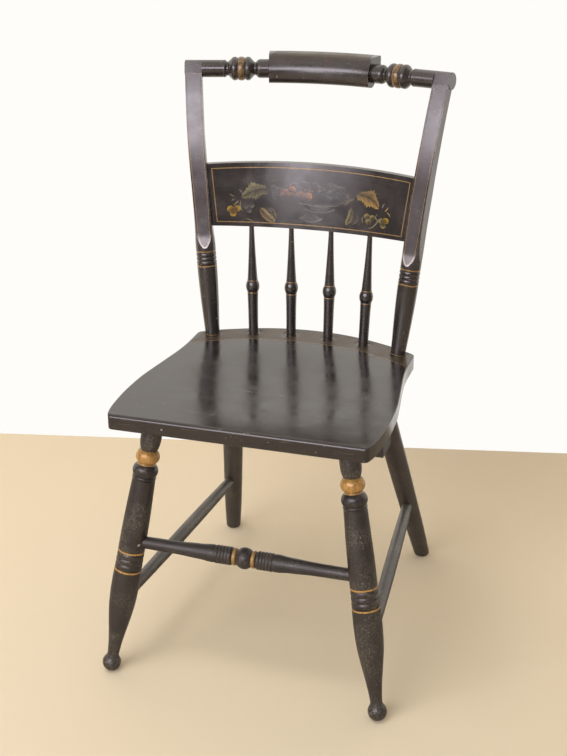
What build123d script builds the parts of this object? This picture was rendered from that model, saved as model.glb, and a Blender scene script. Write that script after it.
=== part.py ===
from build123d import *
import math
import os

# A painted and stencilled side chair: plank seat on four splayed turned legs, three stretchers,
# two bent back posts, a bent crest rail with a block centre, a bent slat and four spindles.
# Millimetres, +Z up, the sitter faces -Y. Left and right are as seen from in front: right is +X.
# The origin is the centre of the footprint at floor level.

# ------------------------------------------------------------------ overall sizes
seat_height = 441.0        # top of the seat above the floor
seat_thick = 23.0
back_rise = 416.4          # centre line of the crest rail above the seat
glue_gap = 0.1             # glue line between a tenon and its socket
seat_under = seat_height - seat_thick
crest_height = seat_height + back_rise

# seat outline: how far forward and back it goes, and its half widths
seat_front, seat_corner_y, seat_back = -236.5, 108.0, 165.3
seat_half_front, seat_half_widest, seat_half_waist = 189.2, 200.0, 180.5
seat_front_corner, seat_back_corner = 8.0, 12.0
seat_nose_r = 5.5          # the front edge is rounded over, the others are only eased
seat_ease = 1.2
seat_hollow_deep, seat_hollow_r, seat_hollow_y = 3.0, 160.0, -62.0

# front legs: where they meet the seat, and their splay per unit of height
front_head_x, front_head_y = 145.1, -168.3
front_splay_x, front_splay_y = -0.1645, 0.1546
foot_ball_r = 14.2
foot_flat = 0.5            # planed off under the ball foot
reeds_from, reed_pitch = 164.5, 9.0
upper_turnings = 103.0     # ring, collar, gilt ball and barrel, measured down from the seat

# rear legs
rear_head_x, rear_head_y = 116.1, 88.9
rear_splay_x, rear_splay_y = -0.1524, -0.3844
rear_top_r, rear_foot_r = 17.9, 12.7
rear_foot_round = 4.5      # worn round on the floor

leg_tenon_r, leg_tenon_deep = 10.0, 14.0

# stretchers
stretcher_stop = 5.0       # their ends stop this short of a leg's centre line
front_stretcher_z = 217.3
side_front_z, side_rear_z = 121.0, 126.0
front_end_r = 9.3
side_end_r, side_middle_r = 8.8, 10.4

# back posts: where they leave the seat and how they lean
post_x, post_y = 155.0, 103.3
post_lean_x, post_lean_y = 0.0914, 0.102
post_bend_rise = 159.0     # here the straight turned part ends and the bend starts
post_turn_r = 15.9
post_head_r = 17.2         # the rod is a little fuller at its head
post_top_lean_x, post_top_lean_y = 0.13, 0.36
post_cant = 15.0           # the flats are turned this much to follow the bent crest
post_half_face = 13.1      # half the width of the front flat near the top
post_tenon_r, post_tenon_deep = 8.5, 14.0
post_bend_z = seat_height + post_bend_rise

# crest rail
crest_bend_r = 325.0
crest_half_block = 85.0    # half the length of the block, along the bend
crest_mid_y = 210.8        # centre line of the rail at the middle of its bend
crest_tail = 132.0         # from the end of the block to the end of the rail
crest_post_at = 118.3      # where the post meets the rail, along the tail
crest_end_r = 13.2
crest_tenon_r, crest_tenon_deep = 6.5, 13.0
block_front, block_back, block_over, block_under = 20.5, 21.0, 24.4, 20.5

# slat
slat_rise = 178.3          # lower edge above the seat
slat_wide = 96.9           # from the lower edge to the upper corners
slat_crown = 5.5
slat_thick = 11.0
slat_bend_r = 620.0
slat_mid_y = 148.0         # middle of the lower edge
slat_lean = 0.118
slat_tenon_thick, slat_tenon_long, slat_tenon_step = 7.0, 10.0, 6.0
slat_spare = 8.0           # sawn off each edge of the bent blank
slat_low = seat_height + slat_rise
slat_high = slat_low + slat_wide

# spindles: foot on the seat, top in the slat
spindle_feet = [(-92.6, 128.0), (-31.2, 138.0), (31.2, 138.0), (92.6, 128.0)]
spindle_spread = 1.05      # the tops stand this much wider than the feet
spindle_ball_at = 0.44     # of the way up
spindle_foot_r, spindle_ball_r, spindle_top_r = 7.7, 11.0, 4.0
spindle_deep, spindle_up = 13.0, 12.0

# cleat under the seat
cleat_front, cleat_back, cleat_thick, cleat_half = -152.5, -107.5, 32.0, 193.0
screw_head_r, screw_r, screw_long = 4.6, 2.1, 44.0
screw_spots = [-160.0, -60.0, 60.0, 160.0]
screw_slack = 0.15         # the cleat's holes let the screws pass

os.makedirs("parts", exist_ok=True)


# ------------------------------------------------------------------ shop helpers
def turned(runs):
    """A piece off the lathe about Z. Each run is a list of (radius, station) points: two points
    are a straight cut, more are one smooth curve."""
    with BuildPart() as work:
        with BuildSketch(Plane.XZ):
            with BuildLine():
                end = runs[0][0]
                for run in runs:
                    if math.dist(end, run[0]) > 1e-6:
                        Line(end, run[0])     # a square step between two cuts
                    end = run[-1]
                    if len(run) == 2:
                        Line(run[0], run[1])
                    elif len(run) == 3:
                        ThreePointArc(*run)
                    else:
                        Spline(*run)
                last, first = runs[-1][-1], runs[0][0]
                if last[0] > 0:
                    Line(last, (0, last[1]))
                if first[0] > 0:
                    Line((0, first[1]), first)
                Line((0, last[1]), (0, first[1]))
            make_face()
        revolve(axis=Axis.Z)
    return work.part


def reeds(r_low, r_high, start, stop, count, sink):
    """Count half-round reeds with sharp scored valleys between them."""
    pitch = (stop - start) / count
    cuts = []
    for n in range(count):
        a, b = start + n * pitch, start + (n + 1) * pitch
        ra = r_low + (r_high - r_low) * (n / count)
        rb = r_low + (r_high - r_low) * ((n + 1) / count)
        cuts.append([(ra - sink, a), ((ra + rb) / 2 + 0.1, (a + b) / 2), (rb - sink, b)])
    return cuts


def axis_place(x, y, z, dx, dy, dz):
    across = (1, 0, -dx / dz) if abs(dz) > 1e-6 else (0, 0, 1)
    return Plane(origin=(x, y, z), z_dir=(dx, dy, dz), x_dir=across).location


def pin(x, y, z, dx, dy, dz, r, low, high):
    """A round pin along a line, from station low to station high."""
    with BuildPart() as work:
        with Locations(axis_place(x, y, z, dx, dy, dz)):
            with Locations((0, 0, low)):
                Cylinder(r, high - low, align=(Align.CENTER, Align.CENTER, Align.MIN))
    return work.part


def above(z):
    with BuildPart() as work:
        with Locations((0, 0, z + 300)):
            Box(1200, 1200, 600)
    return work.part


def below(z):
    with BuildPart() as work:
        with Locations((0, 0, z - 100)):
            Box(1200, 1200, 200)
    return work.part


def mirrored(piece):
    return mirror(piece, about=Plane.YZ)


# ------------------------------------------------------------------ centre lines
foot_ball_z = foot_ball_r - foot_flat
front_foot_x = front_head_x - front_splay_x * (seat_under - foot_ball_z)
front_foot_y = front_head_y - front_splay_y * (seat_under - foot_ball_z)
rear_foot_x = rear_head_x - rear_splay_x * seat_under
rear_foot_y = rear_head_y - rear_splay_y * seat_under
front_stretch = math.sqrt(1 + front_splay_x**2 + front_splay_y**2)
rear_stretch = math.sqrt(1 + rear_splay_x**2 + rear_splay_y**2)
front_len = (seat_under - foot_ball_z) * front_stretch
rear_len = seat_under * rear_stretch


def front_leg_at(z):
    up = z - foot_ball_z
    return (front_foot_x + front_splay_x * up, front_foot_y + front_splay_y * up, z)


def rear_leg_at(z):
    return (rear_foot_x + rear_splay_x * z, rear_foot_y + rear_splay_y * z, z)


front_end = front_leg_at(front_stretcher_z)
side_a, side_b = front_leg_at(side_front_z), rear_leg_at(side_rear_z)
side_run = [side_b[i] - side_a[i] for i in range(3)]
side_len = math.sqrt(sum(v * v for v in side_run))


# ------------------------------------------------------------------ stretchers
# the front stretcher: a ball in the middle between two gilt beads, five reeds each side,
# then a long taper to the ends
half_front = front_end[0] - stretcher_stop
half_profile = [
    [(16.1, 0.0), (15.2, 5.0), (13.0, 9.0), (10.8, 11.2)],
    [(10.8, 11.2), (13.1, 14.6), (10.8, 18.2)],
    [(10.8, 18.2), (12.8, 19.6)],
    *reeds(13.7, 13.7, 19.6, 44.6, 5, 0.8),
    [(12.6, 44.6), (13.0, 46.5), (12.2, 62.0), (11.3, 78.0), (10.3, 94.0), (9.7, 115.0),
     (9.5, 135.0), (front_end_r, 156.0)],
    [(front_end_r, 156.0), (front_end_r, half_front)],
]
bar = Plane(origin=(0, front_end[1], front_end[2]), z_dir=(1, 0, 0)).location
half_bar = turned(half_profile).moved(bar)
other_half = mirrored(half_bar)
with BuildPart() as front_stretcher:
    add(half_bar)
    add(other_half)

# the side stretchers: plain rods, a little fuller in the middle
side_stop = side_len - stretcher_stop
side_straight, side_swell = 24.0, 110.0
side_profile = [
    [(side_end_r, stretcher_stop), (side_end_r, side_straight)],
    [(side_end_r, side_straight), (side_middle_r - 0.5, side_swell), (side_middle_r, side_len / 2),
     (side_middle_r - 0.5, side_len - side_swell), (side_end_r, side_len - side_straight)],
    [(side_end_r, side_len - side_straight), (side_end_r, side_stop)],
]
side_place = axis_place(*side_a, *side_run)
side_rod = turned(side_profile).moved(side_place)


# ------------------------------------------------------------------ front legs
# ball foot, slender ankle, long vase with three reeds between two gilt lines, a ring and a
# collar, a gilt flattened ball and a barrel under the seat
ankle_up = 10.2
ball_top = math.sqrt(foot_ball_r**2 - ankle_up**2)
reeds_to = reeds_from + 3 * reed_pitch
ring_at = front_len - upper_turnings
front_profile = [
    [(0.0, -foot_ball_r), (foot_ball_r, 0.0), (ball_top, ankle_up)],
    [(ball_top, ankle_up), (8.8, 14.4)],
    [(8.8, 14.4), (9.4, 23.0), (11.4, 42.0), (15.6, 70.0), (19.4, 98.0), (20.9, 122.0),
     (20.6, reeds_from)],
    *reeds(20.5, 20.2, reeds_from, reeds_to, 3, 1.0),
    [(19.2, reeds_to), (20.2, reeds_to + 1.2)],
    [(20.2, reeds_to + 1.2), (19.8, reeds_to + 0.35 * (ring_at - reeds_to)),
     (18.5, reeds_to + 0.72 * (ring_at - reeds_to)), (17.2, ring_at)],
    [(17.2, ring_at), (16.3, ring_at + 1.0)],
    [(16.6, ring_at + 1.3), (17.9, ring_at + 3.5), (16.6, ring_at + 5.7)],
    [(16.6, ring_at + 5.7), (15.9, ring_at + 6.7)],
    [(17.0, ring_at + 7.1), (19.1, ring_at + 13.0), (14.3, ring_at + 23.5)],
    [(14.3, ring_at + 23.5), (12.6, ring_at + 26.3)],
    [(12.6, ring_at + 26.3), (17.8, ring_at + 36.5), (13.0, ring_at + 46.3)],
    [(13.0, ring_at + 46.3), (12.4, ring_at + 47.1)],
    [(12.4, ring_at + 47.1), (14.6, ring_at + 54.5), (15.6, ring_at + 64.5),
     (15.3, ring_at + 77.5), (14.2, front_len + 6.0)],
]
front_place = axis_place(front_foot_x, front_foot_y, foot_ball_z, front_splay_x, front_splay_y, 1)
front_line = (front_foot_x, front_foot_y, foot_ball_z, front_splay_x, front_splay_y, 1)
front_turning = turned(front_profile).moved(front_place)
over_seat, under_floor = above(seat_under), below(0)
front_tenon = pin(*front_line, leg_tenon_r, front_len - 12, front_len + leg_tenon_deep)
front_bore = pin(0, front_end[1], front_end[2], 1, 0, 0, front_end_r + glue_gap,
                 half_front - 60, half_front + 1.0)
side_bore = pin(*side_a, *side_run, side_end_r + glue_gap, stretcher_stop - 1.0, 60)
with BuildPart() as front_leg_right:
    add(front_turning)
    add(over_seat, mode=Mode.SUBTRACT)
    add(front_tenon)
    # the ball is planed flat where it stands
    add(under_floor, mode=Mode.SUBTRACT)
    add(front_bore, mode=Mode.SUBTRACT)
    add(side_bore, mode=Mode.SUBTRACT)

# ------------------------------------------------------------------ rear legs
rear_line = (rear_foot_x, rear_foot_y, 0, rear_splay_x, rear_splay_y, 1)
rear_profile = [
    [(rear_foot_r - 0.1, -12.0), (rear_foot_r, 0.0)],
    [(rear_foot_r, 0.0), (rear_foot_r + 2.1, rear_len * 0.125), (rear_top_r - 1.9, rear_len * 0.29),
     (rear_top_r - 0.4, rear_len * 0.59), (rear_top_r, rear_len * 0.86),
     (rear_top_r - 0.3, rear_len + 14.0)],
]
rear_turning = turned(rear_profile).moved(axis_place(*rear_line))
rear_tenon = pin(*rear_line, leg_tenon_r, rear_len - 12, rear_len + leg_tenon_deep)
rear_bore = pin(*side_a, *side_run, side_end_r + glue_gap, side_len - 60, side_stop + 1.0)
with BuildPart() as rear_leg_right:
    add(rear_turning)
    add(over_seat, mode=Mode.SUBTRACT)
    add(under_floor, mode=Mode.SUBTRACT)
    fillet(rear_leg_right.edges().group_by(Axis.Z)[0], rear_foot_round)
    add(rear_tenon)
    add(rear_bore, mode=Mode.SUBTRACT)

# ------------------------------------------------------------------ back posts
c15, s15 = math.cos(math.radians(post_cant)), math.sin(math.radians(post_cant))

# the tail of the crest rail, on which a post ends
tail_dir = (c15, -s15, 0)
tail_x = crest_bend_r * math.sin(crest_half_block / crest_bend_r)
tail_y = crest_mid_y - crest_bend_r * (1 - math.cos(crest_half_block / crest_bend_r))
tail_line = (tail_x, tail_y, crest_height)
tail_place = Plane(origin=tail_line, z_dir=tail_dir, x_dir=(0, 0, 1)).location
joint = tuple(tail_line[i] + crest_post_at * tail_dir[i] for i in range(3))
top_dir = (post_top_lean_x, post_top_lean_y, 1)

bend_x = post_x + post_lean_x * (post_bend_z - seat_height)
bend_y = post_y + post_lean_y * (post_bend_z - seat_height)
post_stretch = math.sqrt(1 + post_lean_x**2 + post_lean_y**2)
post_turned_len = (post_bend_z - seat_height) * post_stretch
rise = crest_height - post_bend_z
bend_points = [
    (bend_x, bend_y, post_bend_z),
    (bend_x + 0.18 * (joint[0] - bend_x) + 2.6, bend_y + 8.0, post_bend_z + 0.31 * rise),
    (bend_x + 0.58 * (joint[0] - bend_x) + 0.6, bend_y + 20.8, post_bend_z + 0.625 * rise),
    joint,
]
with BuildLine() as bend:
    Spline(*bend_points, tangents=[(post_lean_x, post_lean_y, 1), top_dir],
           tangent_scalars=[1.0, 1.0])
bend_wire = bend.wires()[0]
post_line = (post_x, post_y, seat_height, post_lean_x, post_lean_y, 1)

post_reeds_from, post_reeds_to = 116.8, 136.6
post_profile = [
    [(11.3, -8.0), (11.7, 4.0), (13.6, 40.0), (15.3, 80.0), (post_turn_r, 105.0)],
    [(post_turn_r, 105.0), (post_turn_r, post_reeds_from)],
    *reeds(post_turn_r, post_turn_r, post_reeds_from, post_reeds_to, 3, 0.9),
    [(post_turn_r - 0.9, post_reeds_to), (post_turn_r, post_reeds_to + 1.1)],
    [(post_turn_r, post_reeds_to + 1.1), (post_turn_r, post_turned_len)],
]


def post_track(z):
    """Centre line of the right-hand post: (outward, backward) in its canted frame."""
    if z <= post_bend_z:
        x = post_x + post_lean_x * (z - seat_height)
        y = post_y + post_lean_y * (z - seat_height)
    else:
        low, high = 0.0, 1.0
        for _ in range(40):
            mid = (low + high) / 2
            if (bend_wire @ mid).Z < z:
                low = mid
            else:
                high = mid
        x, y = (bend_wire @ low).X, (bend_wire @ low).Y
        if z > crest_height:
            x += post_top_lean_x * (z - crest_height)
            y += post_top_lean_y * (z - crest_height)
    return x * c15 - y * s15, x * s15 + y * c15


# how far the front flat, the side flats and the back stand off the centre line, by height
# above the seat
flats = [
    (seat_height + up, front, side, back) for up, front, side, back in (
        (-11.0, 22.0, 22.0, 22.0), (60.0, 21.0, 21.0, 21.0), (110.0, 19.6, 19.6, 20.2),
        (129.0, 17.8, 18.2, 19.2), (145.0, 16.0, 16.4, 17.6), (159.0, 12.2, 14.9, 16.4),
        (177.0, 10.7, 13.8, 15.4), (204.0, 10.1, 13.3, 13.0), (259.0, 10.0, post_half_face, 9.6),
        (319.0, 10.2, post_half_face, 7.0), (379.0, 10.6, post_half_face, 5.4),
        (back_rise + 24.0, 10.8, post_half_face, 4.6))
]
# the two upright planes that the flats are drawn on: seen from the side and from the front
side_plane = Plane(origin=(0, 0, 0), x_dir=(s15, c15, 0), z_dir=(c15, -s15, 0))
face_plane = Plane(origin=(0, 0, 0), x_dir=(c15, -s15, 0), z_dir=(-s15, -c15, 0))


def flat_blank(grow):
    """The wood left between the planed flats, before it is matched with the round rod."""
    front, back, inner, outer = [], [], [], []
    for z, f, w, g in flats:
        a, b = post_track(z)
        front.append((b - f - grow, z))
        back.append((b + g + grow, z))
        inner.append((a - w - grow, z))
        outer.append((a + w + grow, z))
    with BuildPart() as side_cut:
        with BuildSketch(side_plane):
            with BuildLine():
                Spline(*front)
                Line(front[-1], back[-1])
                Spline(*reversed(back))
                Line(back[0], front[0])
            make_face()
        extrude(amount=300, both=True)
    with BuildPart() as face_cut:
        with BuildSketch(face_plane):
            with BuildLine():
                Spline(*inner)
                Line(inner[-1], outer[-1])
                Spline(*reversed(outer))
                Line(outer[0], inner[0])
            make_face()
        extrude(amount=400, both=True)
    return side_cut.part & face_cut.part


def post_blank(grow):
    """Turned lower half and bent upper half, with the flats planed on it."""
    lower = turned([[(r + grow, s) for r, s in run] for run in post_profile])
    lower = lower.moved(axis_place(*post_line))
    with BuildPart() as work:
        add(lower)
        with BuildSketch(Plane(origin=bend_wire @ 0, z_dir=bend_wire % 0)):
            Circle(post_turn_r + grow)
        with BuildSketch(Plane(origin=bend_wire @ 1, z_dir=bend_wire % 1)):
            Circle(post_head_r + grow)
        sweep(path=bend_wire, multisection=True)
    return work.part & flat_blank(grow)


def slat_half(z):
    """Half the width of the slat's face at a height: it ends a little inside the posts."""
    out, back = post_track(z)
    return out * c15 + back * s15 - post_half_face - 2.0


def slat_body(thick, step, extra):
    """The bent slat leaning back; step trims its top and bottom, extra adds to its ends."""
    low, high = slat_low + step, slat_high - step
    half_low, half_high = slat_half(slat_low) + extra, slat_half(slat_high) + extra
    with BuildPart() as board:
        with BuildSketch(Plane.XY.offset(slat_low - slat_spare)):
            with Locations((0, slat_mid_y - slat_lean * slat_spare - slat_bend_r)):
                Circle(slat_bend_r + thick / 2)
                Circle(slat_bend_r - thick / 2, mode=Mode.SUBTRACT)
            with Locations((0, slat_mid_y - 40)):
                Rectangle(420, 160, mode=Mode.INTERSECT)
        extrude(amount=slat_wide + 5 * slat_spare, dir=(0, slat_lean, 1))
    crown = slat_crown if step == 0 else 0
    with BuildPart() as outline:
        with BuildSketch(Plane.XZ):
            with BuildLine():
                Line((-half_low, low), (half_low, low))
                Line((half_low, low), (half_high, high))
                if crown:
                    ThreePointArc((half_high, high), (0, high + crown), (-half_high, high))
                else:
                    Line((half_high, high), (-half_high, high))
                Line((-half_high, high), (-half_low, low))
            make_face()
        extrude(amount=400, both=True)
    return board.part & outline.part


post_wood, post_clear = post_blank(0), post_blank(glue_gap)
under_seat_top, over_crest = below(seat_height), above(crest_height)
post_foot = pin(*post_line, post_tenon_r, -post_tenon_deep, 12)
saddle = pin(*tail_line, *tail_dir, crest_end_r + glue_gap, 60, 180)
post_head = pin(*joint, *top_dir, crest_tenon_r, -30, crest_tenon_deep - 10)
slat_slot = slat_body(slat_tenon_thick + 2 * glue_gap, slat_tenon_step - glue_gap,
                      slat_tenon_long + 1)
with BuildPart() as post_right:
    add(post_wood)
    # foot: shoulder on the seat, round tenon below it
    add(under_seat_top, mode=Mode.SUBTRACT)
    add(post_foot)
    # head: saddled to the round of the crest rail, with a round tenon up into it
    add(saddle, mode=Mode.SUBTRACT)
    add(over_crest, mode=Mode.SUBTRACT)
    add(post_head)
    # slot for the slat
    add(slat_slot, mode=Mode.SUBTRACT)

# ------------------------------------------------------------------ crest rail
tail_profile = [
    [(13.9, -1.0), (14.4, 1.0)],
    [(14.4, 1.0), (14.4, 14.5)],
    [(14.4, 14.5), (13.4, 17.6), (10.0, 20.6)],
    [(10.0, 20.6), (10.0, 23.0)],
    [(10.0, 23.0), (15.4, 28.0)],
    [(15.4, 28.0), (18.1, 32.4), (16.2, 37.6)],
    [(16.2, 37.6), (18.3, 43.5), (16.2, 49.4)],
    [(16.2, 49.4), (18.1, 54.6), (15.4, 59.0)],
    [(15.4, 59.0), (10.8, 64.0)],
    [(10.8, 64.0), (10.8, 66.5)],
    [(10.8, 66.5), (12.9, 68.2), (crest_end_r, 71.5)],
    [(crest_end_r, 71.5), (crest_end_r, crest_tail - 1.0)],
    [(crest_end_r, crest_tail - 1.0), (crest_end_r - 1.0, crest_tail)],
]
half_sweep = math.degrees(crest_half_block / crest_bend_r)
hub_y = crest_mid_y - crest_bend_r
block_plane = Plane(origin=(0, hub_y, crest_height), x_dir=(0, 1, 0), z_dir=(1, 0, 0))
with BuildPart() as crest_block:
    with BuildSketch(block_plane):
        with BuildLine():
            # rounded front and underside, flat top and back, crisp upper back edge
            nose = (crest_bend_r - block_front, -3.3)
            belly = (crest_bend_r - 8.0, -block_under)
            heel = (crest_bend_r + block_back, -7.0)
            brow = (crest_bend_r + 2.0, block_over)
            edge = 1.5
            Line(heel, (crest_bend_r + block_back, block_over - edge))
            Line((crest_bend_r + block_back, block_over - edge),
                 (crest_bend_r + block_back - edge, block_over))
            Line((crest_bend_r + block_back - edge, block_over), brow)
            Spline(brow, (crest_bend_r - 10.6, block_over - 4.9),
                   (crest_bend_r - 19.0, block_over - 18.3), nose, tangents=[(-1, 0), (0, -1)])
            Spline(nose, belly, tangents=[(0, -1), (1, 0)])
            Spline(belly, (crest_bend_r + 4.0, -15.0), heel, tangents=[(1, 0), (0.6, 0.8)])
        make_face()
    hub = Axis((0, hub_y, 0), (0, 0, 1))
    revolve(axis=hub, revolution_arc=2 * half_sweep)
block = crest_block.part
turn_back = block.bounding_box().center().X
spin = half_sweep if turn_back < 0 else -half_sweep
block = Pos(0, hub_y, 0) * Rot(0, 0, -spin) * Pos(0, -hub_y, 0) * block
tail = turned(tail_profile).moved(tail_place)
other_tail = mirrored(tail)

# the ends are planed flush with the front flats of the posts
front_edge = [(post_track(z)[1] - f, z) for z, f, w, g in flats if z > slat_high - 20]
post_a = joint[0] * c15 - joint[1] * s15
with BuildPart() as shave:
    with BuildSketch(side_plane.offset(post_a - post_half_face)):
        with BuildLine():
            Spline(*front_edge)
            Line(front_edge[-1], (front_edge[-1][0] - 60, front_edge[-1][1]))
            Line((front_edge[-1][0] - 60, front_edge[-1][1]),
                 (front_edge[0][0] - 60, front_edge[0][1]))
            Line((front_edge[0][0] - 60, front_edge[0][1]), front_edge[0])
        make_face()
    extrude(amount=40)
socket = pin(*joint, *top_dir, crest_tenon_r + glue_gap, -30, crest_tenon_deep - 9)
crest_cuts = [shave.part, mirrored(shave.part), socket, mirrored(socket)]
with BuildPart() as crest_rail:
    add(block)
    add(tail)
    add(other_tail)
    for cut in crest_cuts:
        add(cut, mode=Mode.SUBTRACT)

# ------------------------------------------------------------------ spindles
# straight foot, a ball between two gilt collars, then a long taper to the slat
spindles, spindle_parts = [], []
for fx, fy in spindle_feet:
    tx = fx * spindle_spread
    top_y = slat_mid_y - slat_bend_r + math.sqrt(slat_bend_r**2 - tx**2)
    run = ((tx - fx) / slat_rise, (top_y - fy) / slat_rise, 1)
    length = slat_rise * math.sqrt(run[0]**2 + run[1]**2 + 1)
    ball = length * spindle_ball_at
    profile = [
        [(spindle_foot_r, -spindle_deep), (spindle_foot_r, 2.0)],
        [(spindle_foot_r, 2.0), (8.0, 25.0), (8.6, ball - 15.6), (8.8, ball - 10.2)],
        [(8.8, ball - 10.2), (8.9, ball - 9.3), (8.6, ball - 8.4)],
        [(8.6, ball - 8.4), (spindle_ball_r, ball + 0.6), (8.4, ball + 9.8)],
        [(8.4, ball + 9.8), (8.5, ball + 10.8), (8.1, ball + 11.8)],
        [(8.1, ball + 11.8), (7.3, ball + 24.0), (5.0, length - 32.0), (spindle_top_r, length - 6.0)],
        [(spindle_top_r, length - 6.0), (spindle_top_r, length + spindle_up)],
    ]
    spindle_turning = turned(profile).moved(axis_place(fx, fy, seat_height, *run))
    spindle_parts.append(spindle_turning)
    spindles.append((fx, fy, run, length))

# ------------------------------------------------------------------ slat
slat_board = slat_body(slat_thick, 0, 6) - post_clear - mirrored(post_clear)
slat_face = sorted(slat_board.solids(), key=lambda s: s.volume)[-1]
slat_tongue = slat_body(slat_tenon_thick, slat_tenon_step, slat_tenon_long)
slat_bores = [
    pin(fx, fy, seat_height, *run, spindle_top_r + glue_gap, length - 20, length + spindle_up + 1.0)
    for fx, fy, run, length in spindles
]
with BuildPart() as back_slat:
    add(slat_face)
    add(slat_tongue)
    for bore in slat_bores:
        add(bore, mode=Mode.SUBTRACT)

# ------------------------------------------------------------------ seat
# bowed back, waisted sides that swell to the front, a rounded front edge, shallow hollow
swell = seat_half_widest - seat_half_waist
side_points = [(seat_half_front, seat_front)] + [
    (seat_half_waist + share * swell, y) for share, y in (
        (0.72, -217.6), (0.90, -188.6), (1.0, -155.0), (0.985, -120.0), (0.90, -90.0),
        (0.71, -60.0), (0.49, -30.0), (0.27, 0.0), (0.11, 25.0), (0.02, 50.0), (0.01, 75.0),
        (0.025, seat_corner_y))]
bow = seat_back - seat_corner_y
back_points = [side_points[-1]] + [
    (share * seat_half_waist, seat_corner_y + height * bow) for share, height in (
        (0.90, 0.19), (0.80, 0.37), (0.70, 0.51), (0.60, 0.64), (0.43, 0.82), (0.24, 0.945),
        (0.0, 1.0))]
with BuildPart() as seat_plank:
    with BuildSketch(Plane.XY.offset(seat_under)):
        with BuildLine():
            Line((0, seat_front), side_points[0])
            Spline(*side_points)
            Spline(*back_points)
            Line((0, seat_back), (0, seat_front))
        make_face()
        mirror(about=Plane.YZ)
    extrude(amount=seat_thick)
    corners = seat_plank.edges().filter_by(Axis.Z)
    fillet(corners.filter_by_position(Axis.Y, seat_corner_y - 5, seat_corner_y + 5), seat_back_corner)
    fillet(corners.filter_by_position(Axis.Y, seat_front - 5, seat_front + 5), seat_front_corner)
    fillet(seat_plank.edges().group_by(Axis.Z)[-1], seat_ease)
    fillet(seat_plank.edges().group_by(Axis.Z)[0], seat_ease)
seat_blank = seat_plank.part
with BuildPart() as nose_cut:
    with BuildSketch(Plane.YZ):
        with BuildLine():
            bulge = seat_nose_r * (1 - math.sqrt(0.5))
            low_end = (seat_front, seat_height - seat_nose_r)
            high_end = (seat_front + seat_nose_r, seat_height)
            ThreePointArc(low_end, (seat_front + bulge, seat_height - bulge), high_end)
            Polyline(high_end, (high_end[0], seat_height + 2), (seat_front - 2, seat_height + 2),
                     (seat_front - 2, low_end[1]), low_end)
        make_face()
    extrude(amount=seat_half_widest, both=True)
hollow_run = [(share * seat_hollow_r, -drop * seat_hollow_deep) for share, drop in (
    (0.0, 1.0), (0.35, 0.85), (0.65, 0.43), (0.85, 0.11), (0.96, 0.017), (1.04, -0.02))]
hollow = turned([hollow_run, [hollow_run[-1], (hollow_run[-1][0], seat_hollow_deep)]])
hollow = hollow.moved(Location((0, seat_hollow_y, seat_height)))
seat_holes = []
for line, r, low, high in (
    (front_line, leg_tenon_r, front_len - 20, front_len + leg_tenon_deep + 1),
    (rear_line, leg_tenon_r, rear_len - 30, rear_len + leg_tenon_deep + 1),
    (post_line, post_tenon_r, -post_tenon_deep - 1, 30),
):
    hole = pin(*line, r + glue_gap, low, high)
    seat_holes += [hole, mirrored(hole)]
for fx, fy, run, length in spindles:
    seat_holes.append(
        pin(fx, fy, seat_height, *run, spindle_foot_r + glue_gap, -spindle_deep - 1, 20))
cleat_mid = (cleat_front + cleat_back) / 2
with BuildPart() as seat_plank:
    add(seat_blank)
    add(nose_cut.part, mode=Mode.SUBTRACT)
    add(hollow, mode=Mode.SUBTRACT)
    for hole in seat_holes:
        add(hole, mode=Mode.SUBTRACT)
    for x in screw_spots:
        with Locations((x, cleat_mid, seat_under)):
            Cylinder(screw_r + 0.05, screw_long - cleat_thick + 1,
                     align=(Align.CENTER, Align.CENTER, Align.MIN), mode=Mode.SUBTRACT)

# ------------------------------------------------------------------ cleat and its screws
with BuildPart() as seat_cleat:
    with Locations((0, cleat_mid, seat_under)):
        Box(2 * cleat_half, cleat_back - cleat_front, cleat_thick,
            align=(Align.CENTER, Align.CENTER, Align.MAX))
    chamfer(seat_cleat.edges().group_by(Axis.Z)[0], 1.5)
    for x in screw_spots:
        with Locations((x, cleat_mid, seat_under - cleat_thick)):
            Cylinder(screw_r + screw_slack, 3 * cleat_thick, mode=Mode.SUBTRACT)
            Cone(screw_head_r + 0.5, screw_r + screw_slack, 4.0,
                 align=(Align.CENTER, Align.CENTER, Align.MIN), mode=Mode.SUBTRACT)

with BuildPart() as cleat_screws:
    for x in screw_spots:
        with Locations((x, cleat_mid, seat_under - cleat_thick + 0.4)):
            Cylinder(screw_r, screw_long, align=(Align.CENTER, Align.CENTER, Align.MIN))
            Cone(screw_head_r, screw_r, 3.4, align=(Align.CENTER, Align.CENTER, Align.MIN))
            Box(7.0, 1.1, 1.0, align=(Align.CENTER, Align.CENTER, Align.MIN), mode=Mode.SUBTRACT)

# ------------------------------------------------------------------ out
# everything was laid out from the seat; now the origin goes under the middle of the footprint
toes = front_leg_right.part.bounding_box().min.Y
heels = rear_leg_right.part.bounding_box().max.Y
settle = Location((0, -(toes + heels) / 2, 0))


def hand_over(piece, name):
    piece = piece.moved(settle)
    piece.label = name
    export_step(piece, f"parts/{name}.step")


for name, piece in (("front_leg", front_leg_right.part), ("rear_leg", rear_leg_right.part),
                    ("post", post_right.part), ("side_stretcher", side_rod)):
    hand_over(piece, f"{name}_right")
    hand_over(mirrored(piece), f"{name}_left")
for n, spindle in enumerate(spindle_parts, start=1):
    hand_over(spindle, f"spindle_{n}")
hand_over(front_stretcher.part, "front_stretcher")
hand_over(crest_rail.part, "crest_rail")
hand_over(back_slat.part, "back_slat")
hand_over(seat_plank.part, "seat_plank")
hand_over(seat_cleat.part, "seat_cleat")
hand_over(cleat_screws.part, "cleat_screws")
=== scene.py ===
"""The looks of a stencilled, painted side chair, laid on its packed wooden pieces."""
import math
import random

import bmesh
import bpy
from mathutils import Matrix, Vector
from mathutils.bvhtree import BVHTree


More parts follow.
